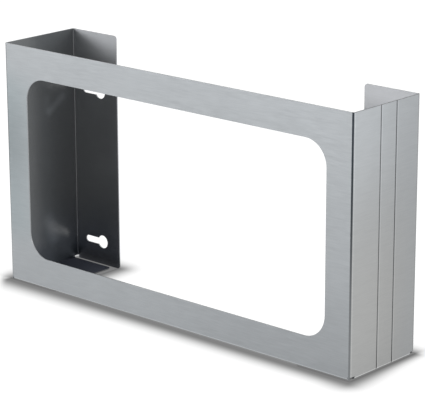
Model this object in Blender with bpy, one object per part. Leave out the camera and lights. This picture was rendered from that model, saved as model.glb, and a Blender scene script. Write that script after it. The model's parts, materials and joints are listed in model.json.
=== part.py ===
"""Disposable glove dispenser: a wall holder for three boxes, folded from one stainless sheet.

The sheet is carried outwards from the middle of the front panel, folded back at both ends
and folded in again behind, and its lower edge is folded under to carry the boxes. The window,
keyholes and grooves are then cut.

Metres, +Z up, front towards -Y. The origin is the centre of the underside.
"""

from math import asin, cos, pi, sin

import bmesh
import bpy
from mathutils import Matrix, Vector

# Overall size
WIDTH = 0.457
DEPTH = 0.0988
HEIGHT = 0.255

# Sheet and bends
SHEET = 0.0012
BEND_INSIDE = 0.0012
BEND_STEPS = 8

# Front panel: the rails left above and below the window, and at its two ends
LONG_RAIL = 0.0318
END_RAIL = 0.0308
WINDOW_CORNER = 0.025

# Back flanges, measured from the end panel's outer face to the free edge
FLANGE = 0.0645
FLANGE_CORNER = 0.0035

# Shallow lip under the whole front, and a tab under each end behind it
LIP_REACH = 0.0057
LIP_CORNER = 0.002
TAB_REACH = 0.0565
TAB_CORNER = 0.004
TAB_FRONT_GAP = 0.0012
TAB_BACK_GAP = 0.005

# Reliefs at the ends of the lower bends
RELIEF_SLIT = 0.0004
RELIEF_PAST_BEND = 0.0006

# Keyholes in the flanges: the head lies inwards and the slot runs towards the end panel
KEYHOLE_INSET = 0.0397
KEYHOLE_HEAD = 0.0142
KEYHOLE_SLOT = 0.0072
KEYHOLE_RUN = 0.0214
KEYHOLE_LOW = 0.0254
KEYHOLE_SPACING = 0.166

# Two fine grooves down the outside of the right end panel, measured from the front face
GROOVE_FROM_FRONT = 0.0398
GROOVE_SPACING = 0.0233
GROOVE_WIDTH = 0.0009
GROOVE_DEPTH = 0.0003

# Facets of the round cuts, and how far a cutter stands past the sheet
CORNER_STEPS = 12
HOLE_STEPS = 32
CUT_PAST = 0.002
SMOOTH_ANGLE = pi / 6

# Brushed stainless steel
STEEL_COLOUR = (0.45, 0.46, 0.47, 1.0)
STEEL_ROUGHNESS = 0.38

# Places that follow from the sizes
FRONT = -DEPTH / 2
END = WIDTH / 2
BEND_OUTSIDE = BEND_INSIDE + SHEET
RELIEF_TOP = BEND_OUTSIDE + RELIEF_PAST_BEND
TAB_FRONT = LIP_REACH + TAB_FRONT_GAP
TAB_BACK = DEPTH - SHEET - TAB_BACK_GAP
LIP_HALF = END - BEND_OUTSIDE - RELIEF_SLIT


def clear_scene():
    """Take away every object that the scene holds."""
    for item in list(bpy.data.objects):
        bpy.data.objects.remove(item, do_unlink=True)


def faces_of(items):
    """Keep the faces out of an operator's result."""
    return [item for item in items if isinstance(item, bmesh.types.BMFace)]


def verts_of(items):
    """Keep the vertices out of an operator's result."""
    return [item for item in items if isinstance(item, bmesh.types.BMVert)]


def add_block(mesh, low, high):
    """Add a closed block between two corners and return its vertices."""
    low, high = Vector(low), Vector(high)
    place = Matrix.Translation((low + high) / 2) @ Matrix.Diagonal((*(high - low), 1.0))
    return bmesh.ops.create_cube(mesh, size=1.0, matrix=place)["verts"]


def push_out(mesh, faces, shift):
    """Carry faces along a vector, with walls behind them, and return them in their new place."""
    grown = bmesh.ops.extrude_face_region(mesh, geom=faces)["geom"]
    bmesh.ops.translate(mesh, verts=verts_of(grown), vec=shift)
    bmesh.ops.delete(mesh, geom=faces, context="FACES")
    mesh.normal_update()
    return faces_of(grown)


def extend(mesh, edge, length):
    """Carry the sheet straight on from an edge face and return the new edge face."""
    return push_out(mesh, [edge], edge.normal * length)[0]


def fold(mesh, edge, inwards):
    """Bend the sheet through a right angle towards a direction and return the new edge face."""
    inwards = Vector(inwards)
    pivot = edge.calc_center_median() + inwards * (SHEET / 2 + BEND_INSIDE)
    turned = bmesh.ops.spin(
        mesh,
        geom=[edge],
        cent=pivot,
        axis=edge.normal.cross(inwards),
        angle=pi / 2,
        steps=BEND_STEPS,
    )["geom_last"]
    bmesh.ops.delete(mesh, geom=[edge], context="FACES")
    mesh.normal_update()
    return faces_of(turned)[0]


def round_corners(mesh, places, radius):
    """Round the sheet's corners that stand at the given places, midway through the sheet."""
    corners = []
    for edge in mesh.edges:
        middle = (edge.verts[0].co + edge.verts[1].co) / 2
        if any((middle - Vector(place)).length < SHEET / 4 for place in places):
            corners.append(edge)
    bmesh.ops.bevel(
        mesh,
        geom=corners,
        offset=radius,
        segments=BEND_STEPS,
        profile=0.5,
        affect="EDGES",
    )


def lower_edge_role(centre):
    """Say what becomes of one stretch of the lower edge: tab, lip, relief or plain."""
    across = abs(centre.x)
    back = centre.y - FRONT
    half_bend = BEND_OUTSIDE - (BEND_OUTSIDE - SHEET / 2) * cos(pi / 4)
    if back > TAB_BACK:
        return "relief" if across > END - BEND_OUTSIDE else "plain"
    if back > TAB_FRONT:
        return "tab"
    if back > half_bend:
        return "relief"
    if across < LIP_HALF:
        return "lip"
    if across < LIP_HALF + RELIEF_SLIT:
        return "relief"
    return "plain"


def grow_end(mesh, edge, side):
    """Carry the front panel out to one end, fold it back, and fold its flange in behind."""
    edge = extend(mesh, edge, RELIEF_SLIT)
    edge = fold(mesh, edge, (0, 1, 0))
    edge = extend(mesh, edge, TAB_FRONT - BEND_OUTSIDE)
    edge = extend(mesh, edge, TAB_BACK - TAB_FRONT)
    edge = extend(mesh, edge, DEPTH - BEND_OUTSIDE - TAB_BACK)
    edge = fold(mesh, edge, (-side, 0, 0))
    extend(mesh, edge, FLANGE - BEND_OUTSIDE)


def fold_shelf(mesh, edge, inwards, reach):
    """Fold one stretch of the lower edge under, and carry it to its reach."""
    edge = extend(mesh, edge, RELIEF_PAST_BEND)
    edge = fold(mesh, edge, inwards)
    extend(mesh, edge, reach - BEND_OUTSIDE)


def folded_sheet():
    """Model the whole folded sheet, before its holes are cut."""
    mesh = bmesh.new()
    add_block(mesh, (-LIP_HALF, FRONT, RELIEF_TOP), (LIP_HALF, FRONT + SHEET, HEIGHT))
    mesh.normal_update()
    ends = [(face, side) for face in mesh.faces for side in (-1, 1) if face.normal.x * side > 0.5]
    for edge, side in ends:
        grow_end(mesh, edge, side)

    lower = {"tab": [], "lip": [], "relief": [], "plain": []}
    for face in mesh.faces:
        if face.normal.z < -0.5:
            lower[lower_edge_role(face.calc_center_median())].append(face)
    push_out(mesh, lower["plain"], Vector((0, 0, -RELIEF_TOP)))
    for face in lower["tab"]:
        inwards = (-1 if face.calc_center_median().x > 0 else 1, 0, 0)
        fold_shelf(mesh, face, inwards, TAB_REACH)
    for face in lower["lip"]:
        fold_shelf(mesh, face, (0, 1, 0), LIP_REACH)

    for side in (-1, 1):
        flange = [(side * (END - FLANGE), -FRONT - SHEET / 2, height) for height in (0, HEIGHT)]
        tab = [(side * (END - TAB_REACH), FRONT + back, SHEET / 2) for back in (TAB_FRONT, TAB_BACK)]
        lip = [(side * LIP_HALF, FRONT + LIP_REACH, SHEET / 2)]
        round_corners(mesh, flange, FLANGE_CORNER)
        round_corners(mesh, tab, TAB_CORNER)
        round_corners(mesh, lip, LIP_CORNER)
    return mesh


def arc(centre, radius, start, end, steps):
    """Points of an arc in the XZ plane, with both of its ends."""
    angles = [start + (end - start) * step / steps for step in range(steps + 1)]
    return [Vector((centre[0] + radius * cos(a), 0, centre[1] + radius * sin(a))) for a in angles]


def add_prism(mesh, outline, start_y, end_y):
    """Close an XZ outline into a solid that runs from one Y to another."""
    verts = [mesh.verts.new((point.x, start_y, point.z)) for point in outline]
    grown = bmesh.ops.extrude_face_region(mesh, geom=[mesh.faces.new(verts)])["geom"]
    bmesh.ops.translate(mesh, verts=verts_of(grown), vec=(0, end_y - start_y, 0))


def window_cutter(mesh):
    """The window: a rectangle with large round corners, through the front panel."""
    half_width = END - END_RAIL - WINDOW_CORNER
    low = LONG_RAIL + WINDOW_CORNER
    high = HEIGHT - LONG_RAIL - WINDOW_CORNER
    corners = ((half_width, high), (-half_width, high), (-half_width, low), (half_width, low))
    outline = []
    for turn, centre in enumerate(corners):
        start = turn * pi / 2
        outline += arc(centre, WINDOW_CORNER, start, start + pi / 2, CORNER_STEPS)
    add_prism(mesh, outline, FRONT - CUT_PAST, FRONT + SHEET + CUT_PAST)


def keyhole_cutter(mesh):
    """Two keyholes in each flange, mirrored from one flange to the other."""
    neck = asin(KEYHOLE_SLOT / KEYHOLE_HEAD)
    for side in (-1, 1):
        for height in (KEYHOLE_LOW, KEYHOLE_LOW + KEYHOLE_SPACING):
            head = (END - KEYHOLE_INSET, height)
            tip = (END - KEYHOLE_INSET + KEYHOLE_RUN, height)
            outline = arc(head, KEYHOLE_HEAD / 2, neck, 2 * pi - neck, HOLE_STEPS)
            outline += arc(tip, KEYHOLE_SLOT / 2, -pi / 2, pi / 2, HOLE_STEPS // 2)
            outline = [Vector((side * point.x, 0, point.z)) for point in outline]
            add_prism(mesh, outline, -FRONT - SHEET - CUT_PAST, -FRONT + CUT_PAST)


def groove_cutter(mesh):
    """The two grooves down the right end panel, from its top to its foot."""
    for offset in (GROOVE_FROM_FRONT, GROOVE_FROM_FRONT + GROOVE_SPACING):
        add_block(
            mesh,
            (END - GROOVE_DEPTH, FRONT + offset - GROOVE_WIDTH / 2, -CUT_PAST),
            (END + CUT_PAST, FRONT + offset + GROOVE_WIDTH / 2, HEIGHT + CUT_PAST),
        )


def add_object(name, mesh):
    """Turn a finished bmesh into an object of the scene."""
    bmesh.ops.recalc_face_normals(mesh, faces=mesh.faces)
    data = bpy.data.meshes.new(name)
    mesh.to_mesh(data)
    mesh.free()
    item = bpy.data.objects.new(name, data)
    bpy.context.scene.collection.objects.link(item)
    return item


def cut(body, name, shape):
    """Cut a shape out of the body, with a Boolean and a cutter of its own."""
    mesh = bmesh.new()
    shape(mesh)
    cutter = add_object(name, mesh)
    cutter.hide_render = True
    cutter.display_type = "WIRE"
    boolean = body.modifiers.new(name, "BOOLEAN")
    boolean.operation = "DIFFERENCE"
    boolean.solver = "EXACT"
    boolean.object = cutter


def settle(body):
    """Keep the cut form as the body's own mesh, and take the cutters away."""
    graph = bpy.context.evaluated_depsgraph_get()
    data = bpy.data.meshes.new_from_object(body.evaluated_get(graph))
    cutters = [boolean.object for boolean in body.modifiers]
    body.modifiers.clear()
    body.data = data
    data.name = body.name
    for cutter in cutters:
        bpy.data.objects.remove(cutter, do_unlink=True)
    data.shade_smooth()
    data.set_sharp_from_angle(angle=SMOOTH_ANGLE)


def steel():
    """Brushed stainless steel."""
    material = bpy.data.materials.new("brushed_stainless")
    material.use_nodes = True
    shader = material.node_tree.nodes["Principled BSDF"]
    shader.inputs["Base Color"].default_value = STEEL_COLOUR
    shader.inputs["Metallic"].default_value = 1.0
    shader.inputs["Roughness"].default_value = STEEL_ROUGHNESS
    return material


def main():
    """Build the dispenser."""
    clear_scene()
    body = add_object("folded_body", folded_sheet())
    cut(body, "window", window_cutter)
    cut(body, "keyholes", keyhole_cutter)
    cut(body, "grooves", groove_cutter)
    settle(body)
    body.data.materials.clear()
    body.data.materials.append(steel())


main()
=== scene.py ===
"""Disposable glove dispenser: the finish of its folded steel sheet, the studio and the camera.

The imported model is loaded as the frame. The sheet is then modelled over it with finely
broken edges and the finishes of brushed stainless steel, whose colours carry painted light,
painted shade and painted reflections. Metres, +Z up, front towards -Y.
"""

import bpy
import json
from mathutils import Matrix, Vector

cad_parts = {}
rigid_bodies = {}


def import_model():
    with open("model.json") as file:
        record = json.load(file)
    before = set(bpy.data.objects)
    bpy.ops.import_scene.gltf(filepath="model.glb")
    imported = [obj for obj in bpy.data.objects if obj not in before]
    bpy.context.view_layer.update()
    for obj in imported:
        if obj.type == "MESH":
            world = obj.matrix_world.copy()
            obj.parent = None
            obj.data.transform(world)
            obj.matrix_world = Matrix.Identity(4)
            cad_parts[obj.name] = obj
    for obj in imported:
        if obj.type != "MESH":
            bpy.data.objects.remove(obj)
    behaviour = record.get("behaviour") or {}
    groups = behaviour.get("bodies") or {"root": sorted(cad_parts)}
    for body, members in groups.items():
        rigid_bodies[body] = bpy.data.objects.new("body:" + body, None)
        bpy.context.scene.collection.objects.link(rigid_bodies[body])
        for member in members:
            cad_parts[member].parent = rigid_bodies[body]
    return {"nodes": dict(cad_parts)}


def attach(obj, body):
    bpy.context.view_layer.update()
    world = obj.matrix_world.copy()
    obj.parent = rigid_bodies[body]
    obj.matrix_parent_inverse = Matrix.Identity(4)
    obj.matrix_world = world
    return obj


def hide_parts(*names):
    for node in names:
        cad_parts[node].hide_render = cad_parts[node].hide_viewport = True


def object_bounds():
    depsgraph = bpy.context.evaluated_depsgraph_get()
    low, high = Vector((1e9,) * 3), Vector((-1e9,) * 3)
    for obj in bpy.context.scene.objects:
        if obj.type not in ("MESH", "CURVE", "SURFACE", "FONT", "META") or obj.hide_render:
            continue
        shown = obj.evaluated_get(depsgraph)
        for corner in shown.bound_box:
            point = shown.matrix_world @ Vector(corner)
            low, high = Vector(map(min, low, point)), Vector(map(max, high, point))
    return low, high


bl_info = {
    "name": "Disposable Glove Dispenser",
    "version": (1, 0, 0),
    "blender": (4, 5, 0),
    "location": "3D View > Sidebar > Dispenser",
    "description": "Finishes the folded steel sheet of a glove dispenser and sets up its studio",
    "category": "Object",
}

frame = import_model()

import json
from math import radians

import bpy
from bpy.props import FloatProperty, FloatVectorProperty, PointerProperty
from bpy.types import Operator, Panel, PropertyGroup
from mathutils import Matrix, Vector

CAD_LOW, CAD_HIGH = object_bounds()
NODE = "folded_body"
BODY = "root"
SHEET_THICKNESS = 0.0012


# Modelling

# How near to a plane a face's middle counts as lying on it, how nearly the face has to look
# along the plane's normal, and what joins doubled vertices
ON_PLANE = 0.00005
FACING_OUT = 0.9
JOIN_WITHIN = 0.000001

# Edges turned by more than the first angle are sheared edges, those under the second are
# smooth, and faces within the third are joined
SHEARED_ANGLE = radians(60)
SMOOTH_ANGLE = radians(35)
FLAT_ANGLE = radians(0.5)

EDGE_SEGMENTS = 2
SHEARED_SLOT, OUTER_SLOT, INNER_SLOT = range(3)


# Finishes
#
# A ramp is a start, an end, the result at the start and the result at the end, and one of
# two numbers runs from 0 to 1. A band is a low edge, a high edge and the soft margin outside
# them. A bump is a strength and a distance. A change is added to 1, so above 0 it makes a
# place lighter, and below 0 darker.

# Noise behind the brushed strokes and the soft patches
NOISE_DETAIL = 3.0
STROKE_ROUGHNESS = 0.6
PATCH_ROUGHNESS = 0.5

# The strokes run round the holder, a quarter turn from the shader's own direction
GRAIN_TURN = 0.25

# Brushed outside: strokes, patches, and normals that count as an end's or the right end's
OUTER_GRAIN = (0.3, 0.7, 0.965, 1.035)
OUTER_ROUGHNESS = (0.25, 0.75, 0.3, 0.4)
OUTER_BUMP = (0.12, 0.0001)
OUTER_ANISOTROPY = 0.6
OUTER_PATCH_SCALE = 9.0
OUTER_PATCHES = (0.3, 0.7, 0.98, 1.02)
OUTER_ON_END = (0.6, 0.95)
OUTER_ON_RIGHT = (0.3, 0.8)

# End panels: painted light and shade by Y and by height, and where a painted reflection of the
# floor warms them
END_BY_DEPTH = (CAD_LOW.y, CAD_HIGH.y, 0.1, -0.08)
END_BY_HEIGHT = (0.12, CAD_HIGH.z, 0.0, 0.12)
FLOOR_REFLECTION_BY_DEPTH = (0.0, CAD_HIGH.y, 1.0, 0.5)
FLOOR_REFLECTION_BY_HEIGHT = (0.06, CAD_HIGH.z, 1.0, 0.0)

# Front panel, painted light and shade: a slow change by X, a darker lower right, and a darker
# middle of the top rail
FRONT_BY_X = (-0.1, 0.1, 0.0, -0.04)
LOW_RIGHT_X = (-0.15, 0.2)
LOW_RIGHT_BY_HEIGHT = (0.02, 0.12, -0.12, 0.0)
TOP_MIDDLE_X = (-0.05, 0.05, 0.12)
TOP_MIDDLE_HEIGHT = (0.2, 0.23)
TOP_MIDDLE_CHANGE = -0.03

# Left rail: a darker band of painted shade and a cooler band of painted reflection across it
LEFT_RAIL_X = (CAD_LOW.x, -0.16, 1.0, 0.0)
LEFT_DARK_HEIGHT = (0.15, 0.16, 0.07)
LEFT_DARK_CHANGE = -0.16
LEFT_COOL_HEIGHT = (0.07, 0.2, 0.04)
COOL_TINT = (0.89, 0.945, 0.95)

# Painted reflection round the front's outer bends, a band of painted shade beside a painted
# highlight: bands by the turn, changes by height, and the blue tint of its dark side
BEND_SHADE_TURN = (radians(10), radians(46), radians(10))
BEND_SHADE_BY_HEIGHT = (0.0, 0.19, -0.3, -0.85)
BEND_HIGHLIGHT_TURN = (radians(62), radians(80), radians(10))
BEND_HIGHLIGHT_BY_HEIGHT = (0.0, CAD_HIGH.z, 0.18, 0.08)
BEND_REFLECTION_BLUE_HEIGHT = (0.08, CAD_HIGH.z)
BEND_REFLECTION_TINT = (0.87, 0.99, 1.13)

# Painted highlight and painted shade along the lowest bends: by the turn below level, with the
# painted highlight's change by X
FOOT_LIGHT = (radians(14), radians(34), radians(8))
FOOT_LIGHT_BY_X = (-0.1, 0.12, 0.28, 0.55)
FOOT_DARK = (radians(50), radians(68))
FOOT_DARK_CHANGE = -0.6

# Upright lines painted on the right end panel: Y, half width and change. The two scored grooves
# get painted shade with a painted highlight on the brow behind them, and the last row is the
# painted reflection at the back bend.
PAINTED_PANEL_LINES = (
    (-0.0096, 0.0008, -0.58),
    (-0.0080, 0.0009, 0.12),
    (0.0137, 0.0008, -0.7),
    (0.0153, 0.0009, 0.12),
    (CAD_HIGH.y - 0.0022, 0.0009, -0.2),
)

# Half widths from a line's middle between which it fades
LINE_FADE = (0.5, 1.3)

# Inner side: strokes, patches, and normals that count as an end's, a tab's or a bend's
INNER_GRAIN = (0.3, 0.7, 0.98, 1.02)
INNER_BUMP = (0.8, 0.00016)
INNER_ANISOTROPY = 0.8
INNER_PATCH_SCALE = 22.0
INNER_PATCHES = (0.35, 0.75, 0.97, 1.08)
INNER_ROUGHNESS = (0.3, 0.7, 0.48, 0.52)
INNER_ON_END = (0.3, 0.95)
INNER_UPWARD = (0.3, 0.95)
# Painted shade in the inner bends
INNER_BEND = (0.35, 0.85, 0.25)
INNER_BEND_CHANGE = -0.5

# Inner side, painted light and shade: changes by height at the foot and the top, the whole of
# it darker to the right, and a cool tint of painted reflection near the floor
INNER_END_FOOT = (0.0, 0.055, 0.6, 0.0)
INNER_END_TOP = (0.2, CAD_HIGH.z, 0.0, 0.5)
FLANGE_FOOT = (0.0, 0.022, -0.85, 0.0)
FLANGE_TOP = (0.2, CAD_HIGH.z, 0.0, 0.24)
INNER_BY_X = (-0.17, 0.1, 1.0, 0.78)
INNER_LOW_HEIGHT = (0.0, 0.08, 1.0, 0.0)
INNER_LOW_TINT = (0.95, 0.985, 1.08)

# Thin smooth gloss on the inner side
GLOSS_HEIGHT = (0.006, 0.03)
GLOSS_ROUGHNESS = 0.08
GLOSS_IOR = 1.55

# Painted reflections, faint and light, on the left end's inner side: Y and Z of both tips, half width,
# change
PAINTED_REFLECTIONS = (
    ((0.0105, 0.1710), (0.0290, 0.1835), 0.0075, 0.6),
    ((0.0070, 0.1750), (0.0075, 0.1850), 0.0090, 0.2),
    ((0.0055, 0.0520), (0.0120, 0.0300), 0.0115, 0.5),
    ((0.0130, 0.0480), (0.0210, 0.0380), 0.0090, 0.25),
)

# They show on the left end alone
PAINTED_REFLECTIONS_X = (CAD_LOW.x + 0.005, CAD_LOW.x + 0.01, 1.0, 0.0)

# Sheared edges: streaks, a foot darkened by painted shade, and the darker top edge of the right end
SHEARED_PATCH_SCALE = 900.0
SHEARED_STREAKS = (0.3, 0.7, 0.85, 1.08)
SHEARED_ROUGHNESS = (0.3, 0.7, 0.35, 0.5)
SHEARED_BY_HEIGHT = (0.001, 0.02, 0.3, 1.0)
SHEARED_UPWARD = (0.5, 0.9)
RIGHT_TOP_X = (CAD_HIGH.x - 0.004, CAD_HIGH.x - 0.002)
RIGHT_TOP_CHANGE = -0.8


# Floor
#
# The contact shade lies round the front panel's foot and the foot of each end with its flange
# and tab. Distances from them are stretched, and a stretch of more than 1 makes it narrower.

# Shift of the shade in X and Y, where the ends' feet start along X, how far they reach past
# the back, the shade's change of the floor and how steeply it fades
SHADE_SHIFT = (0.0017, -0.0049)
SHADE_END_START = 0.167
SHADE_PAST_BACK = 0.0025
SHADE_CHANGE = -0.785
SHADE_FALL = 1.83

# Share of the contact shadow's reach that it has at the left end and at the right end
SHADE_REACH = (1.07, 0.95)

# Stretch beyond the ends at the front and at the back, stretch inwards of them, and where
# along X one gives way to the other
STRETCH_BEYOND_END = (1.14, 2.2)
STRETCH_INWARDS = 1.2
ENDS_START = (0.19, 0.2)

# Stretch before the front by X, what the right corner adds to it, and the stretch behind
STRETCH_BEFORE_FRONT = (CAD_LOW.x, 0.02, 1.05, 1.23)
STRETCH_RIGHT_CORNER = (0.2, CAD_HIGH.x, 0.0, -0.16)
STRETCH_BEHIND = 1.27

# Weaker shade off the left front corner and off the right back corner, by X and by Y
CORNER_CHANGE = -0.42
LEFT_CORNER = (
    (CAD_LOW.x - 0.006, CAD_LOW.x, 1.0, 0.0),
    (CAD_LOW.y - 0.006, CAD_LOW.y + 0.002, 1.0, 0.0),
)
RIGHT_CORNER = (
    (CAD_HIGH.x, CAD_HIGH.x + 0.006),
    (CAD_HIGH.y - 0.002, CAD_HIGH.y + 0.006),
)

# Where the shade runs out along a diagonal off the left front corner, and what is left of it
TIP_DIRECTION = (0.743, 0.669)
TIP_RUN = (-0.0153, -0.0038)
TIP_LEFT_BY_DEPTH = (CAD_LOW.y - 0.007, CAD_LOW.y + 0.002, 0.1, 0.55)

# Dark line where the holder meets the floor, by the distance from its foot
CONTACT_START = (0.0, 0.0003)
CONTACT_END = (0.0012, 0.0034, 1.0, 0.0)
CONTACT_CHANGE = -0.22

# Grey of the floor as the camera sees it and as other light does, and its glow by distance
SEEN_GREY = (0.3, 0.3, 0.3)
UNSEEN_GREY = (0.8, 0.8, 0.8)
GLOW_BY_DISTANCE = (0.5, 3.0, 0.8, 1.0)
FLOOR_CORNERS = 96


# Studio

# Name, place, width, height and the property that holds the power
LAMPS = (
    ("key_lamp", (-1.05, -1.66, 0.66), 1.4, 0.5, "key_power"),
    ("side_lamp", (1.4, 0.6, 0.7), 0.8, 0.8, "side_power"),
    ("top_lamp", (0.0, 0.1, 1.9), 1.4, 1.4, "top_power"),
)
LAMP_AIM = Vector((0.0, 0.0, CAD_HIGH.z / 2))
SURROUND_WHITE = (1.0, 1.0, 1.0)
SENSOR_WIDTH = 36.0
CLIP_START = 0.05
CLIP_END = 60.0


# Properties


class DISPENSER_PG_sheet(PropertyGroup):
    """Sizes and colours of the steel sheet, among them colours of painted shade and a painted
    reflection of the floor.
    """

    edge_break: FloatProperty(
        name="Edge break",
        description="Width of the broken corner along every sheared edge",
        default=0.00012,
        min=0.00002,
        max=0.00014,
        precision=5,
        unit="LENGTH",
    )
    steel_colour: FloatVectorProperty(
        name="Steel",
        description="Colour of the brushed outside",
        default=(0.31, 0.325, 0.338),
        min=0.0,
        max=1.0,
        subtype="COLOR",
    )
    # Painted reflection of the floor: a warmer steel colour low on the end panels
    floor_reflection_colour: FloatVectorProperty(
        name="Steel, low on the ends",
        description="Colour of the brushed end panels near their foot, where the floor warms them",
        default=(0.313, 0.316, 0.313),
        min=0.0,
        max=1.0,
        subtype="COLOR",
    )
    # Painted shade: the inner sides of the ends get a dark colour in place of their shade
    painted_shade_inner_colour: FloatVectorProperty(
        name="Inner ends",
        description="Colour of the end panels' inner sides, which throw little light back",
        default=(0.0865, 0.0935, 0.098),
        min=0.0,
        max=1.0,
        subtype="COLOR",
    )
    flange_colour: FloatVectorProperty(
        name="Inner front and flanges",
        description="Colour of the inner sides that face the front or the back",
        default=(0.33, 0.338, 0.352),
        min=0.0,
        max=1.0,
        subtype="COLOR",
    )
    # Painted shade: the upper sides of the tabs and the lip get a dark colour in place of their shade
    painted_shade_tab_colour: FloatVectorProperty(
        name="Tabs",
        description="Colour of the upper sides of the tabs and the lip",
        default=(0.04, 0.0425, 0.05),
        min=0.0,
        max=1.0,
        subtype="COLOR",
    )
    sheared_colour: FloatVectorProperty(
        name="Sheared edge",
        description="Colour of the cut edges of the sheet",
        default=(0.3, 0.31, 0.32),
        min=0.0,
        max=1.0,
        subtype="COLOR",
    )
    grain_length: FloatProperty(
        name="Grain length",
        description="Length of the brushed strokes, which run along the sheet",
        default=0.018,
        min=0.002,
        max=0.1,
        unit="LENGTH",
    )
    grain_width: FloatProperty(
        name="Grain width",
        description="Width of the brushed strokes",
        default=0.0007,
        min=0.0001,
        max=0.005,
        precision=5,
        unit="LENGTH",
    )


class DISPENSER_PG_studio(PropertyGroup):
    """Lamps, floor and surround."""

    floor_radius: FloatProperty(
        name="Floor radius",
        description="Radius of the pale floor",
        default=9.0,
        min=1.0,
        max=50.0,
        unit="LENGTH",
    )
    contact_reach: FloatProperty(
        name="Contact shadow",
        description="How far from the foot of the holder the dark contact shadow has mostly faded",
        default=0.0189,
        min=0.003,
        max=0.5,
        unit="LENGTH",
    )
    surround: FloatProperty(
        name="Surround",
        description="Strength of the even light from all round",
        default=0.5,
        min=0.0,
        max=2.0,
    )
    key_power: FloatProperty(
        name="Key lamp",
        description="Power of the soft lamp above the left of the front",
        default=16.0,
        min=0.0,
        max=500.0,
        unit="POWER",
    )
    side_power: FloatProperty(
        name="Side lamp",
        description="Power of the soft lamp beyond the right end",
        default=8.0,
        min=0.0,
        max=500.0,
        unit="POWER",
    )
    top_power: FloatProperty(
        name="Top lamp",
        description="Power of the wide soft lamp overhead",
        default=16.0,
        min=0.0,
        max=500.0,
        unit="POWER",
    )


class DISPENSER_PG_camera(PropertyGroup):
    """Where the camera stands and what it aims at."""

    azimuth: FloatProperty(
        name="Azimuth",
        description="Turn round the holder, from straight in front towards its right end",
        default=radians(42.003),
        subtype="ANGLE",
    )
    elevation: FloatProperty(
        name="Elevation",
        description="Height of the camera's line of sight above the horizontal",
        default=radians(16.408),
        subtype="ANGLE",
    )
    roll: FloatProperty(
        name="Roll",
        description="Tilt of the camera round its own line of sight",
        default=radians(0.193),
        subtype="ANGLE",
    )
    distance: FloatProperty(
        name="Distance",
        description="From the camera to the point that it aims at",
        default=2.07626,
        min=0.1,
        unit="LENGTH",
    )
    aim: FloatVectorProperty(
        name="Aim",
        description="The point that the camera aims at",
        default=(0.00997, 0.00473, 0.11523),
        subtype="TRANSLATION",
        unit="LENGTH",
    )
    lens: FloatProperty(
        name="Focal length",
        description="Focal length on a sensor 36 mm wide",
        default=177.174,
        min=1.0,
        unit="CAMERA",
    )


# Nodes


class Nodes:
    """Adds nodes to a material's tree and joins them up."""

    def __init__(self, tree):
        self.tree = tree

    def add(self, kind, inputs=None, **settings):
        """Add a node, give it settings, and join or set its inputs."""
        node = self.tree.nodes.new(kind)
        for name, value in settings.items():
            setattr(node, name, value)
        for name, value in (inputs or {}).items():
            self.put(node.inputs[name], value)
        return node

    def put(self, socket, value):
        """Join an output to a socket, or set the socket's own value."""
        if isinstance(value, bpy.types.NodeSocket):
            self.tree.links.new(value, socket)
        else:
            socket.default_value = value

    def math(self, operation, *values):
        """A Math node's result."""
        node = self.tree.nodes.new("ShaderNodeMath")
        node.operation = operation
        for socket, value in zip(node.inputs, values):
            self.put(socket, value)
        return node.outputs[0]

    def product(self, *factors):
        """Several values multiplied together."""
        result = factors[0]
        for factor in factors[1:]:
            result = self.math("MULTIPLY", result, factor)
        return result

    def along(self, direction, *offsets):
        """How far two offsets reach along a direction."""
        parts = [self.math("MULTIPLY", offset, share) for offset, share in zip(offsets, direction)]
        return self.math("ADD", *parts)

    def ramp(self, value, low, high, to_low=0.0, to_high=1.0):
        """A smooth step of a value from one range to another."""
        node = self.add("ShaderNodeMapRange", interpolation_type="SMOOTHSTEP")
        for name, given in zip(
            ("Value", "From Min", "From Max", "To Min", "To Max"),
            (value, low, high, to_low, to_high),
        ):
            self.put(node.inputs[name], given)
        return node.outputs["Result"]

    def band(self, value, low, high, soft):
        """1 between two values, fading to 0 over a soft margin outside them."""
        return self.product(
            self.ramp(value, low - soft, low),
            self.ramp(value, high, high + soft, 1.0, 0.0),
        )

    def change(self, where, by):
        """1, and more or less than 1 by an amount in the places that are marked."""
        return self.math("MULTIPLY_ADD", where, by, 1.0)

    def mix(self, factor, first, second, blend="MIX"):
        """A colour between two others."""
        node = self.add("ShaderNodeMix", data_type="RGBA", blend_type=blend)
        self.put(node.inputs["Factor"], factor)
        self.put(node.inputs["A"], first)
        self.put(node.inputs["B"], second)
        return node.outputs["Result"]

    def tinted(self, where, colour, tint):
        """A colour with a tint in the places that are marked."""
        return self.mix(where, colour, four(tint), "MULTIPLY")

    def grey(self, value):
        """A value as a grey."""
        channels = {"Red": value, "Green": value, "Blue": value}
        return self.add("ShaderNodeCombineColor", channels).outputs["Color"]

    def shaded(self, colour, shade):
        """A colour made lighter or darker."""
        return self.mix(1.0, colour, self.grey(shade), "MULTIPLY")

    def split(self, vector):
        """The three parts of a vector."""
        return self.add("ShaderNodeSeparateXYZ", {"Vector": vector}).outputs

    def surface(self):
        """A point's place, its coordinates, and the way that the surface faces there."""
        place = self.add("ShaderNodeTexCoord").outputs["Object"]
        normal = self.add("ShaderNodeNewGeometry").outputs["Normal"]
        return place, self.split(place), self.split(normal)


def new_material(name):
    """An empty node material, with its output node."""
    material = bpy.data.materials.new(name)
    material.use_nodes = True
    material.node_tree.nodes.clear()
    nodes = Nodes(material.node_tree)
    return material, nodes, nodes.add("ShaderNodeOutputMaterial")


def four(colour):
    """A colour with its alpha."""
    return (*colour[:3], 1.0)


# Steel


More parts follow.
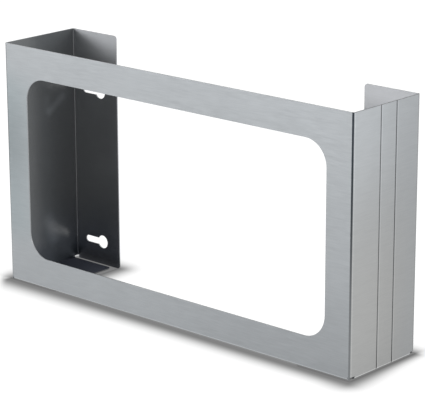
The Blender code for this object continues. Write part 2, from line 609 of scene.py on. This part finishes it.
def grain(nodes, place, props):
    """Brushed strokes along the sheet: long in X and Y, narrow in Z."""
    per_stroke = (1 / props.grain_length, 1 / props.grain_length, 1 / props.grain_width)
    stretched = nodes.add("ShaderNodeMapping", {"Vector": place, "Scale": per_stroke})
    return nodes.add(
        "ShaderNodeTexNoise",
        {
            "Vector": stretched.outputs["Vector"],
            "Scale": 1.0,
            "Detail": NOISE_DETAIL,
            "Roughness": STROKE_ROUGHNESS,
        },
    ).outputs["Fac"]


def clouds(nodes, place, scale):
    """Soft uneven patches."""
    return nodes.add(
        "ShaderNodeTexNoise",
        {"Vector": place, "Scale": scale, "Detail": NOISE_DETAIL, "Roughness": PATCH_ROUGHNESS},
    ).outputs["Fac"]


def metal(nodes, output, inputs):
    """Finish a material with a metal shader."""
    shader = nodes.add("ShaderNodeBsdfPrincipled", {"Metallic": 1.0, **inputs})
    nodes.put(output.inputs["Surface"], shader.outputs["BSDF"])


def across_grain(nodes, anisotropy):
    """The shader inputs that draw highlights out across the strokes."""
    tangent = nodes.add("ShaderNodeTangent", direction_type="RADIAL", axis="Z")
    return {
        "Anisotropic": anisotropy,
        "Anisotropic Rotation": GRAIN_TURN,
        "Tangent": tangent.outputs["Tangent"],
    }


def stroke_bump(nodes, strokes, strength, distance):
    """The normals of a surface scratched by the strokes."""
    inputs = {"Strength": strength, "Distance": distance, "Height": strokes}
    return nodes.add("ShaderNodeBump", inputs).outputs["Normal"]


def painted_bend_reflection(nodes, facing):
    """Both sides, dark and light, of the painted reflection on the outer bends."""
    across = nodes.math("ABSOLUTE", facing["X"])
    forward = nodes.math("MULTIPLY", facing["Y"], -1.0)
    turn = nodes.math("ARCTAN2", across, forward)
    return nodes.band(turn, *BEND_SHADE_TURN), nodes.band(turn, *BEND_HIGHLIGHT_TURN)


def painted_foot_line(nodes, facing):
    """The painted highlight and the painted shade along the lowest bends."""
    turn = nodes.math("ARCSINE", nodes.math("MULTIPLY", facing["Z"], -1.0))
    return nodes.band(turn, *FOOT_LIGHT), nodes.ramp(turn, *FOOT_DARK)


def painted_panel_lines(nodes, depth, on_right):
    """The grooves' painted shade and highlights, and the painted line at the right end's back bend."""
    shade = 1.0
    for at, half_width, by in PAINTED_PANEL_LINES:
        away = nodes.math("ABSOLUTE", nodes.math("SUBTRACT", depth, at))
        start, end = (share * half_width for share in LINE_FADE)
        line = nodes.ramp(away, start, end, by, 0.0)
        shade = nodes.math("ADD", shade, nodes.math("MULTIPLY", line, on_right))
    return shade


def outer_steel(props):
    """Brushed stainless steel with grain along the sheet, and painted light and shade in its colour."""
    material, nodes, output = new_material("brushed_steel")
    place, axes, facing = nodes.surface()
    height = axes["Z"]
    strokes = grain(nodes, place, props)
    patches = clouds(nodes, place, OUTER_PATCH_SCALE)
    on_end = nodes.ramp(nodes.math("ABSOLUTE", facing["X"]), *OUTER_ON_END)
    on_front = nodes.math("SUBTRACT", 1.0, on_end)
    on_right = nodes.ramp(facing["X"], *OUTER_ON_RIGHT)
    on_left_rail = nodes.ramp(axes["X"], *LEFT_RAIL_X)
    dark, light = painted_bend_reflection(nodes, facing)
    foot_light, foot_dark = painted_foot_line(nodes, facing)
    low_right = nodes.product(on_front, nodes.ramp(axes["X"], *LOW_RIGHT_X))
    top_middle = nodes.product(
        on_front,
        nodes.band(axes["X"], *TOP_MIDDLE_X),
        nodes.ramp(height, *TOP_MIDDLE_HEIGHT),
    )
    # Painted shade in a band across the left rail
    left_dark = nodes.product(nodes.band(height, *LEFT_DARK_HEIGHT), LEFT_DARK_CHANGE)
    shade = nodes.product(
        nodes.ramp(strokes, *OUTER_GRAIN),
        nodes.ramp(patches, *OUTER_PATCHES),
        # Painted shade and a painted highlight along the outer bends
        nodes.change(dark, nodes.ramp(height, *BEND_SHADE_BY_HEIGHT)),
        nodes.change(light, nodes.ramp(height, *BEND_HIGHLIGHT_BY_HEIGHT)),
        # Painted light and shade on the end panels, by Y and by height
        nodes.change(on_end, nodes.ramp(axes["Y"], *END_BY_DEPTH)),
        nodes.change(on_end, nodes.ramp(height, *END_BY_HEIGHT)),
        # Painted shade on the front: its lower right, the middle of its top rail, and a slow change by
        # X
        nodes.change(low_right, nodes.ramp(height, *LOW_RIGHT_BY_HEIGHT)),
        nodes.change(top_middle, TOP_MIDDLE_CHANGE),
        nodes.change(on_front, nodes.ramp(axes["X"], *FRONT_BY_X)),
        nodes.change(on_left_rail, left_dark),
        # Painted highlight and painted shade along the lowest bends
        nodes.change(foot_light, nodes.ramp(axes["X"], *FOOT_LIGHT_BY_X)),
        nodes.change(foot_dark, FOOT_DARK_CHANGE),
        # Painted shade and highlights of the grooves, and the painted line at the back bend
        painted_panel_lines(nodes, axes["Y"], on_right),
    )
    # Share of the painted warm reflection of the floor on the end panels
    floor_reflection = nodes.product(
        on_end,
        nodes.ramp(height, *FLOOR_REFLECTION_BY_HEIGHT),
        nodes.ramp(axes["Y"], *FLOOR_REFLECTION_BY_DEPTH),
    )
    # Painted blue reflection in the dark band on the outer bends
    bend_reflection_blue = nodes.product(dark, nodes.ramp(height, *BEND_REFLECTION_BLUE_HEIGHT))
    # Painted cool reflection in a band across the left rail
    cool = nodes.product(on_left_rail, on_front, nodes.band(height, *LEFT_COOL_HEIGHT))
    colour = nodes.mix(floor_reflection, four(props.steel_colour), four(props.floor_reflection_colour))
    colour = nodes.shaded(colour, shade)
    colour = nodes.tinted(bend_reflection_blue, colour, BEND_REFLECTION_TINT)
    colour = nodes.tinted(cool, colour, COOL_TINT)
    metal(
        nodes,
        output,
        {
            "Base Color": colour,
            "Roughness": nodes.ramp(strokes, *OUTER_ROUGHNESS),
            "Normal": stroke_bump(nodes, strokes, *OUTER_BUMP),
            **across_grain(nodes, OUTER_ANISOTROPY),
        },
    )
    return material


def painted_reflections(nodes, axes):
    """The painted reflections on the left end's inner side, each fading towards its sides and tips."""
    on_left = nodes.ramp(axes["X"], *PAINTED_REFLECTIONS_X)
    shade = 1.0
    for start, end, half_width, by in PAINTED_REFLECTIONS:
        reach = Vector(end) - Vector(start)
        run = reach.normalized()
        back = nodes.math("SUBTRACT", axes["Y"], start[0])
        up = nodes.math("SUBTRACT", axes["Z"], start[1])
        aside = nodes.math("ABSOLUTE", nodes.along((run.x, -run.y), up, back))
        mark = nodes.product(
            on_left,
            nodes.band(nodes.along(run, back, up), 0.0, reach.length, half_width),
            nodes.ramp(aside, 0.0, half_width, 1.0, 0.0),
        )
        shade = nodes.math("MULTIPLY_ADD", mark, by, shade)
    return shade


def inner_steel(props):
    """The inner side, with painted shade as dark colours on its ends and tabs, and a thin smooth gloss.
    """
    material, nodes, output = new_material("inner_steel")
    place, axes, facing = nodes.surface()
    height = axes["Z"]
    strokes = grain(nodes, place, props)
    wiped = clouds(nodes, place, INNER_PATCH_SCALE)
    turned = nodes.math("ABSOLUTE", facing["X"])
    on_end = nodes.ramp(turned, *INNER_ON_END)
    off_end = nodes.math("SUBTRACT", 1.0, on_end)
    upward = nodes.ramp(nodes.math("ABSOLUTE", facing["Z"]), *INNER_UPWARD)
    # Grain and patches, then painted light and shade by height, by X and in the inner bends, and
    # painted reflections on the left end
    shade = nodes.product(
        nodes.ramp(strokes, *INNER_GRAIN),
        nodes.ramp(wiped, *INNER_PATCHES),
        nodes.change(off_end, nodes.ramp(height, *FLANGE_FOOT)),
        nodes.change(on_end, nodes.ramp(height, *INNER_END_FOOT)),
        nodes.change(on_end, nodes.ramp(height, *INNER_END_TOP)),
        nodes.change(off_end, nodes.ramp(height, *FLANGE_TOP)),
        nodes.ramp(axes["X"], *INNER_BY_X),
        nodes.change(nodes.band(turned, *INNER_BEND), INNER_BEND_CHANGE),
        painted_reflections(nodes, axes),
    )
    # Painted shade: dark colours on the inner ends and on the tabs
    colour = nodes.mix(on_end, four(props.flange_colour), four(props.painted_shade_inner_colour))
    colour = nodes.shaded(colour, shade)
    colour = nodes.mix(upward, colour, four(props.painted_shade_tab_colour))
    # Painted cool reflection near the floor
    colour = nodes.tinted(nodes.ramp(height, *INNER_LOW_HEIGHT), colour, INNER_LOW_TINT)
    metal(
        nodes,
        output,
        {
            "Base Color": colour,
            "Roughness": nodes.ramp(wiped, *INNER_ROUGHNESS),
            "Coat Weight": nodes.ramp(height, *GLOSS_HEIGHT),
            "Coat Roughness": GLOSS_ROUGHNESS,
            "Coat IOR": GLOSS_IOR,
            "Coat Normal": stroke_bump(nodes, strokes, *INNER_BUMP),
            **across_grain(nodes, INNER_ANISOTROPY),
        },
    )
    return material


def sheared_steel(props):
    """The cut edges of the sheet, fine-grained across its thickness and darker near the floor with
    painted shade.
    """
    material, nodes, output = new_material("sheared_steel")
    place, axes, facing = nodes.surface()
    streaks = clouds(nodes, place, SHEARED_PATCH_SCALE)
    right_top = nodes.product(
        nodes.ramp(facing["Z"], *SHEARED_UPWARD),
        nodes.ramp(axes["X"], *RIGHT_TOP_X),
    )
    shade = nodes.product(
        nodes.ramp(streaks, *SHEARED_STREAKS),
        # Painted shade near the floor
        nodes.ramp(axes["Z"], *SHEARED_BY_HEIGHT),
        nodes.change(right_top, RIGHT_TOP_CHANGE),
    )
    metal(
        nodes,
        output,
        {
            "Base Color": nodes.shaded(four(props.sheared_colour), shade),
            "Roughness": nodes.ramp(streaks, *SHEARED_ROUGHNESS),
        },
    )
    return material


# Floor and its shade


def white_to_sight(nodes):
    """1 for what the camera sees, straight, mirrored or through glass, and 0 for other light."""
    path = nodes.add("ShaderNodeLightPath").outputs
    seen = nodes.math("MAXIMUM", path["Is Camera Ray"], path["Is Glossy Ray"])
    return nodes.math("MAXIMUM", seen, path["Is Transmission Ray"])


def from_rectangle(nodes, place, stretch, low, high):
    """How far a place on the floor lies outside a rectangle, stretched in its two directions."""
    squares = []
    for axis in (0, 1):
        middle = (low[axis] + high[axis]) / 2
        off_middle = nodes.math("ABSOLUTE", nodes.math("SUBTRACT", place[axis], middle))
        past = nodes.math("SUBTRACT", off_middle, high[axis] - middle)
        outside = nodes.product(nodes.math("MAXIMUM", past, 0.0), stretch[axis])
        squares.append(nodes.product(outside, outside))
    return nodes.math("SQRT", nodes.math("ADD", *squares))


def from_foot(nodes, place, stretch, past_back):
    """How far a place lies from the foot of the front panel or of an end, the nearer one."""
    end = from_rectangle(
        nodes, place, stretch, (SHADE_END_START, CAD_LOW.y), (CAD_HIGH.x, CAD_HIGH.y + past_back)
    )
    panel = from_rectangle(nodes, place, stretch, (0.0, CAD_LOW.y), (CAD_HIGH.x, CAD_LOW.y))
    return nodes.math("MINIMUM", end, panel)


def shade_stretch(nodes, axes, across, depth):
    """How much distances count for the shade, sideways and from front to back."""
    beyond_end = nodes.ramp(depth, CAD_LOW.y, CAD_HIGH.y, *STRETCH_BEYOND_END)
    before_front = nodes.math(
        "ADD",
        nodes.ramp(axes["X"], *STRETCH_BEFORE_FRONT),
        nodes.ramp(axes["X"], *STRETCH_RIGHT_CORNER),
    )
    return (
        nodes.ramp(across, *ENDS_START, STRETCH_INWARDS, beyond_end),
        nodes.ramp(depth, CAD_LOW.y, CAD_HIGH.y, before_front, STRETCH_BEHIND),
    )


def corner_shares(nodes, axes):
    """The share of the shade that is left off the two corners, and 1 elsewhere."""
    marks = [
        nodes.product(nodes.ramp(axes["X"], *by_x), nodes.ramp(axes["Y"], *by_y))
        for by_x, by_y in (LEFT_CORNER, RIGHT_CORNER)
    ]
    off_corner = nodes.along(
        TIP_DIRECTION,
        nodes.math("SUBTRACT", axes["X"], CAD_LOW.x),
        nodes.math("SUBTRACT", axes["Y"], CAD_LOW.y),
    )
    left_over = nodes.ramp(axes["Y"], *TIP_LEFT_BY_DEPTH)
    return nodes.math(
        "MINIMUM",
        nodes.change(nodes.math("ADD", *marks), CORNER_CHANGE),
        nodes.ramp(off_corner, *TIP_RUN, left_over, 1.0),
    )


def contact_shade(nodes, axes, props):
    """How clear the floor is of the shade, from 1 for quite clear down to 0."""
    across = nodes.math("ABSOLUTE", axes["X"])
    place = (
        nodes.math("ABSOLUTE", nodes.math("SUBTRACT", axes["X"], SHADE_SHIFT[0])),
        nodes.math("SUBTRACT", axes["Y"], SHADE_SHIFT[1]),
    )
    stretch = shade_stretch(nodes, axes, across, place[1])
    reaches = (share * props.contact_reach for share in SHADE_REACH)
    away = nodes.math(
        "DIVIDE",
        from_foot(nodes, place, stretch, SHADE_PAST_BACK),
        nodes.ramp(axes["X"], CAD_LOW.x, CAD_HIGH.x, *reaches),
    )
    fallen = nodes.math("EXPONENT", nodes.product(nodes.math("POWER", away, SHADE_FALL), -1.0))
    soft = nodes.change(fallen, nodes.product(corner_shares(nodes, axes), SHADE_CHANGE))
    foot = from_foot(nodes, (across, axes["Y"]), (1.0, 1.0), 0.0)
    line = nodes.product(nodes.ramp(foot, *CONTACT_START), nodes.ramp(foot, *CONTACT_END))
    return nodes.product(soft, nodes.change(line, CONTACT_CHANGE))


def pale_floor(props):
    """A pale floor that looks white, with a soft contact shadow round what stands on it."""
    material, nodes, output = new_material("pale_floor")
    position = nodes.add("ShaderNodeTexCoord").outputs["Object"]
    clear = contact_shade(nodes, nodes.split(position), props)
    seen = nodes.add("ShaderNodeLightPath").outputs["Is Camera Ray"]
    tint = nodes.grey(nodes.ramp(seen, 0.0, 1.0, 1.0, clear))
    distance = nodes.add("ShaderNodeVectorMath", {0: position}, operation="LENGTH")
    strength = nodes.ramp(distance.outputs["Value"], *GLOW_BY_DISTANCE)
    seen_grey = nodes.mix(1.0, four(SEEN_GREY), tint, "MULTIPLY")
    lit = nodes.add("ShaderNodeBsdfDiffuse", {"Color": seen_grey})
    glow = nodes.add("ShaderNodeEmission", {"Color": tint, "Strength": strength})
    both = nodes.add("ShaderNodeAddShader", {0: lit.outputs["BSDF"], 1: glow.outputs["Emission"]})
    plain = nodes.add("ShaderNodeBsdfDiffuse", {"Color": four(UNSEEN_GREY)})
    choice = nodes.add(
        "ShaderNodeMixShader",
        {"Fac": white_to_sight(nodes), 1: plain.outputs["BSDF"], 2: both.outputs["Shader"]},
    )
    nodes.put(output.inputs["Surface"], choice.outputs["Shader"])
    return material


# Making


def deselect():
    """Leave nothing selected."""
    bpy.ops.object.select_all(action="DESELECT")


def skin_side(centre, normal):
    """Say which flat skin of the sheet a face lies on: outer, inner or none."""
    planes = (
        (centre.x, CAD_HIGH.x, normal.x),
        (-centre.x, -CAD_LOW.x, -normal.x),
        (centre.y, CAD_HIGH.y, normal.y),
        (-centre.y, -CAD_LOW.y, -normal.y),
    )
    for at, outside, facing in planes:
        if abs(at - outside) < ON_PLANE and facing > FACING_OUT:
            return "outer"
        if abs(at - outside + SHEET_THICKNESS) < ON_PLANE and facing < -FACING_OUT:
            return "inner"
    return None


def finish_side(piece, side, slot):
    """Give one whole skin of the sheet a material slot, round its bends and up to its sheared edges."""
    faces = piece.data.polygons
    bpy.ops.object.mode_set(mode="EDIT")
    bpy.ops.mesh.select_mode(type="FACE")
    bpy.ops.mesh.select_all(action="DESELECT")
    bpy.ops.object.mode_set(mode="OBJECT")
    on_side = [skin_side(face.center, face.normal) == side for face in faces]
    if not any(on_side):
        raise RuntimeError(f"The sheet has no flat face on its {side} side")
    faces.foreach_set("select", on_side)
    bpy.ops.object.mode_set(mode="EDIT")
    bpy.ops.mesh.select_linked(delimit={"SHARP"})
    piece.active_material_index = slot
    bpy.ops.object.material_slot_assign()
    bpy.ops.object.mode_set(mode="OBJECT")


class DISPENSER_OT_folded_sheet(Operator):
    """Model the folded sheet with broken edges and give it its finishes"""

    bl_idname = "dispenser.folded_sheet"
    bl_label = "Folded sheet"

    def execute(self, context):
        props = context.scene.dispenser_sheet
        deselect()
        node = frame["nodes"][NODE]
        node.select_set(True)
        context.view_layer.objects.active = node
        bpy.ops.object.duplicate()
        piece = context.view_layer.objects.active
        bpy.ops.object.parent_clear(type="CLEAR_KEEP_TRANSFORM")
        piece.name = "folded_sheet"
        piece.data.name = "folded_sheet"
        piece.data.materials.clear()
        for material in (sheared_steel(props), outer_steel(props), inner_steel(props)):
            piece.data.materials.append(material)

        bpy.ops.object.mode_set(mode="EDIT")
        bpy.ops.mesh.select_mode(type="EDGE")
        bpy.ops.mesh.select_all(action="SELECT")
        bpy.ops.mesh.remove_doubles(threshold=JOIN_WITHIN)
        bpy.ops.mesh.dissolve_limited(angle_limit=FLAT_ANGLE)
        bpy.ops.mesh.select_all(action="DESELECT")
        bpy.ops.mesh.edges_select_sharp(sharpness=SHEARED_ANGLE)
        bpy.ops.mesh.mark_sharp()
        bpy.ops.object.mode_set(mode="OBJECT")

        for face in piece.data.polygons:
            face.material_index = SHEARED_SLOT
        finish_side(piece, "outer", OUTER_SLOT)
        finish_side(piece, "inner", INNER_SLOT)

        bpy.ops.object.mode_set(mode="EDIT")
        bpy.ops.mesh.select_mode(type="EDGE")
        bpy.ops.mesh.select_all(action="DESELECT")
        bpy.ops.mesh.edges_select_sharp(sharpness=SHEARED_ANGLE)
        bpy.ops.mesh.mark_sharp(clear=True)
        bpy.ops.mesh.bevel(
            offset=props.edge_break,
            segments=EDGE_SEGMENTS,
            profile=0.5,
            clamp_overlap=True,
            material=SHEARED_SLOT,
        )
        bpy.ops.object.mode_set(mode="OBJECT")
        bpy.ops.object.shade_smooth_by_angle(angle=SMOOTH_ANGLE)
        bpy.ops.object.modifier_add(type="WEIGHTED_NORMAL")
        weighted = piece.modifiers[-1]
        weighted.keep_sharp = True
        bpy.ops.object.modifier_apply(modifier=weighted.name)
        deselect()

        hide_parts(NODE)
        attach(piece, BODY)
        return {"FINISHED"}


def add_lamp(name, place, width, height, power):
    """A soft rectangular lamp that faces the middle of the holder."""
    bpy.ops.object.light_add(type="AREA", location=place)
    lamp = bpy.context.object
    lamp.name = name
    lamp.data.name = name
    lamp.rotation_euler = (LAMP_AIM - Vector(place)).to_track_quat("-Z", "Y").to_euler()
    lamp.data.shape = "RECTANGLE"
    lamp.data.size = width
    lamp.data.size_y = height
    lamp.data.energy = power
    lamp.visible_camera = False


class DISPENSER_OT_stage(Operator):
    """Lay the pale floor, light it softly and place the camera"""

    bl_idname = "dispenser.stage"
    bl_label = "Stage"

    def execute(self, context):
        scene = context.scene
        studio = scene.dispenser_studio
        deselect()
        bpy.ops.mesh.primitive_circle_add(
            vertices=FLOOR_CORNERS,
            radius=studio.floor_radius,
            fill_type="NGON",
            location=(0, 0, CAD_LOW.z),
        )
        floor = context.object
        floor.name = "floor"
        floor.data.materials.append(pale_floor(studio))

        for name, place, width, height, power in LAMPS:
            add_lamp(name, place, width, height, getattr(studio, power))
        self.light_surround(scene, studio)
        self.place_camera(context)
        scene.view_settings.view_transform = "Standard"
        return {"FINISHED"}

    def light_surround(self, scene, studio):
        """An even pale surround, white to sight."""
        world = bpy.data.worlds.new("surround")
        world.use_nodes = True
        world.node_tree.nodes.clear()
        nodes = Nodes(world.node_tree)
        strength = nodes.ramp(white_to_sight(nodes), 0.0, 1.0, studio.surround, 1.0)
        back = nodes.add(
            "ShaderNodeBackground", {"Color": four(SURROUND_WHITE), "Strength": strength}
        )
        output = nodes.add("ShaderNodeOutputWorld")
        nodes.put(output.inputs["Surface"], back.outputs["Background"])
        scene.world = world

    def place_camera(self, context):
        """The camera, at the angle of a product picture from the front and right."""
        view = context.scene.dispenser_camera
        bpy.ops.object.camera_add()
        camera = context.object
        camera.name = "camera"
        camera.data.sensor_width = SENSOR_WIDTH
        camera.data.lens = view.lens
        camera.data.clip_start = CLIP_START
        camera.data.clip_end = CLIP_END
        camera.matrix_world = (
            Matrix.Translation(view.aim)
            @ Matrix.Rotation(view.azimuth, 4, "Z")
            @ Matrix.Rotation(radians(90) - view.elevation, 4, "X")
            @ Matrix.Translation((0, 0, view.distance))
            @ Matrix.Rotation(-view.roll, 4, "Z")
        )
        context.scene.camera = camera


# Panel and registering

PANEL_ROWS = (
    ("dispenser_sheet", ("dispenser.folded_sheet",)),
    ("dispenser_studio", ("dispenser.stage",)),
    ("dispenser_camera", ()),
)


class DISPENSER_PT_making(Panel):
    """Sizes, colours and steps of the dispenser"""

    bl_label = "Glove dispenser"
    bl_idname = "DISPENSER_PT_making"
    bl_space_type = "VIEW_3D"
    bl_region_type = "UI"
    bl_category = "Dispenser"

    def draw(self, context):
        for group, operators in PANEL_ROWS:
            box = self.layout.box()
            props = getattr(context.scene, group)
            for name in props.__annotations__:
                box.prop(props, name)
            for operator in operators:
                box.operator(operator)


GROUPS = {
    "dispenser_sheet": DISPENSER_PG_sheet,
    "dispenser_studio": DISPENSER_PG_studio,
    "dispenser_camera": DISPENSER_PG_camera,
}

CLASSES = (
    *GROUPS.values(),
    DISPENSER_OT_folded_sheet,
    DISPENSER_OT_stage,
    DISPENSER_PT_making,
)


def register():
    for cls in CLASSES:
        bpy.utils.register_class(cls)
    for name, group in GROUPS.items():
        setattr(bpy.types.Scene, name, PointerProperty(type=group))


def unregister():
    for name in GROUPS:
        delattr(bpy.types.Scene, name)
    for cls in reversed(CLASSES):
        bpy.utils.unregister_class(cls)


def main():
    """Make the dispenser and its stage."""
    register()
    bpy.ops.dispenser.folded_sheet()
    bpy.ops.dispenser.stage()


if __name__ == "__main__":
    main()
